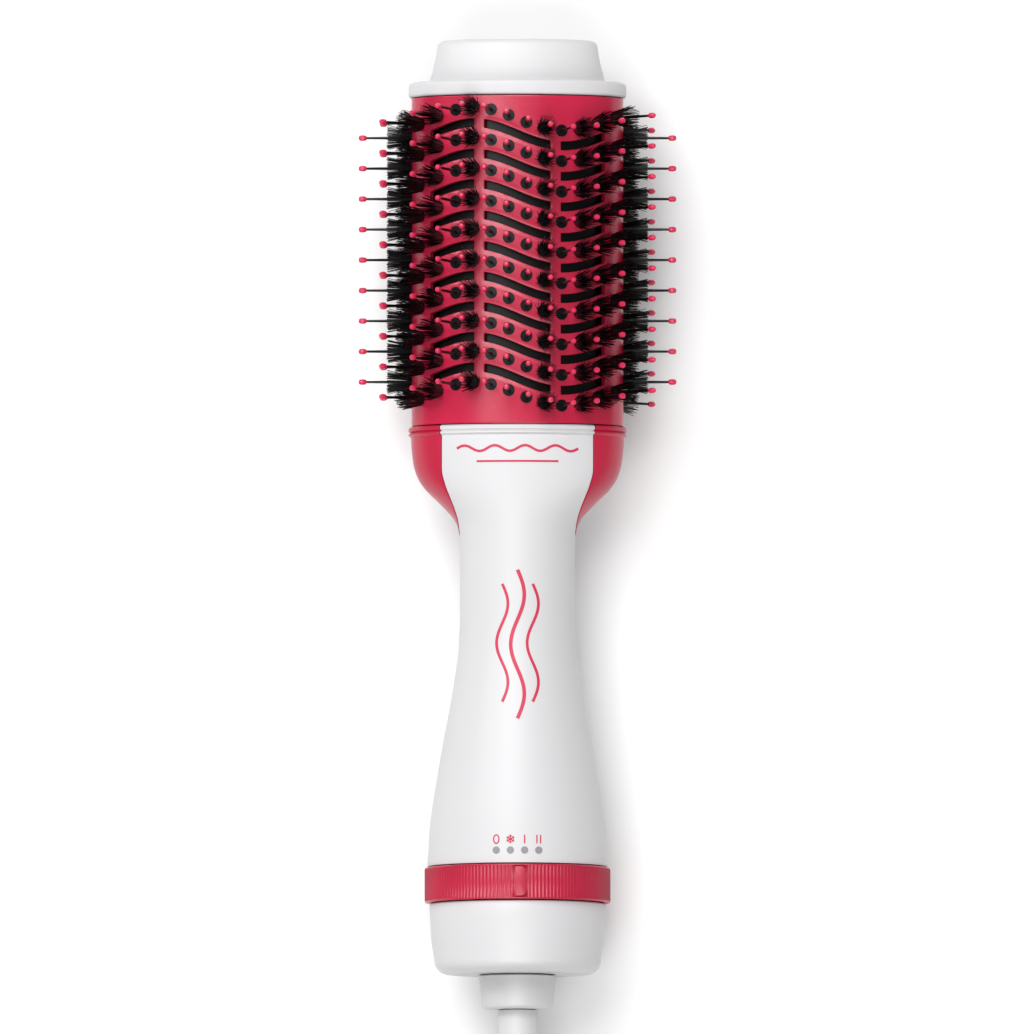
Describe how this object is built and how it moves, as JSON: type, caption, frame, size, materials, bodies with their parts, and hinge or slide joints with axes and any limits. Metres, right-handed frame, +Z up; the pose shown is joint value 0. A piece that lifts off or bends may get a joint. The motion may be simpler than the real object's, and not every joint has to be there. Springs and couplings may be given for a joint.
{
  "type": "hot air brush",
  "caption": "Oval hot air styling brush: slotted crimson barrel with ball-tipped pins and tufts, white handle, ring selector, swivel neck and coiled mains cord.",
  "frame": {"origin": "centre of the tool's box, without its loose cord, on the surface that it lies on", "axes": "+Y along the tool towards its tip, +Z up out of its front face, +X to the right of the front face"},
  "size_m": [0.1309, 0.5678, 0.0807],
  "materials": {
    "white_abs": "satin moulded ABS",
    "crimson_shell": "satin coated shell",
    "black_nylon": "moulded nylon",
    "dark_moulding": "moulded",
    "grey_moulding": "heat-proof moulding",
    "fan_black": "moulded",
    "mica": "pressed mica sheet",
    "nichrome": "drawn wire",
    "steel": "zinc-plated steel",
    "brass": "drawn brass",
    "circuit_board": "solder mask",
    "blue_film": "film capacitor",
    "rubber": "moulded rubber",
    "white_cord": "soft PVC"
  },
  "bodies": {
    "tool": {"tip_flange": "white_abs", "tip_cap": "white_abs", "handle_front": "white_abs", "handle_back": "white_abs", "base_cap": "white_abs", "barrel_front": "crimson_shell", "barrel_back": "crimson_shell", "shoulder_wing_left": "crimson_shell", "shoulder_wing_right": "crimson_shell", "bristle_bed_front": "black_nylon", "bristle_bed_back": "black_nylon", "bristle_strip_left": "black_nylon", "bristle_strip_right": "black_nylon", "switch_body": "dark_moulding", "rectifier_bridge": "dark_moulding", "cord_tie": "dark_moulding", "barrel_end_plate": "grey_moulding", "fan_duct": "grey_moulding", "motor_end_bell": "grey_moulding", "heater_board": "mica", "heating_coil_1": "nichrome", "heating_coil_2": "nichrome", "tip_screw_1": "steel", "tip_screw_2": "steel", "handle_screw_1": "steel", "handle_screw_2": "steel", "motor_can": "steel", "thermostat": "steel", "thermal_fuse": "steel", "contact_live": "brass", "contact_neutral": "brass", "plug_pin_1": "brass", "plug_pin_2": "brass", "control_board": "circuit_board", "suppressor_capacitor": "blue_film", "motor_mount_1": "rubber", "motor_mount_2": "rubber", "dust_filter": "rubber", "cord_tube": "white_cord", "cord_coil": "white_cord", "cord_tail": "white_cord", "plug_relief": "white_cord", "plug_body": "white_cord"},
    "selector": {"selector_ring": "crimson_shell"},
    "slider": {"switch_slider": "grey_moulding"},
    "rotor": {"fan_rotor": "fan_black", "motor_shaft": "steel"},
    "swivel": {"swivel_neck": "white_abs", "swivel_clip": "steel", "slip_ring_live": "brass", "slip_ring_neutral": "brass", "strain_relief": "white_cord"}
  },
  "joints": [
    {"name": "selector_turn", "type": "hinge", "parent": "tool", "child": "selector", "pos_m": [0, -0.10521, 0.0332], "axis": [0, 0.9995, 0.0322], "range_deg": [-18.34, 9.17]},
    {"name": "slider_slide", "type": "slide", "parent": "tool", "child": "slider", "axis": [1, 0, 0], "range_m": [-0.0037, 0.0073]},
    {"name": "fan_spin", "type": "hinge", "parent": "tool", "child": "rotor", "pos_m": [0, -0.04225, 0.03523], "axis": [0, 0.9995, 0.0322], "continuous": true},
    {"name": "cord_swivel", "type": "hinge", "parent": "tool", "child": "swivel", "pos_m": [0, -0.14319, 0.03198], "axis": [0, 0.9995, 0.0322], "continuous": true}
  ],
  "couplings": [
    {"joint": "slider_slide", "follows": "selector_turn", "m_per_rad": -0.0224}
  ]
}
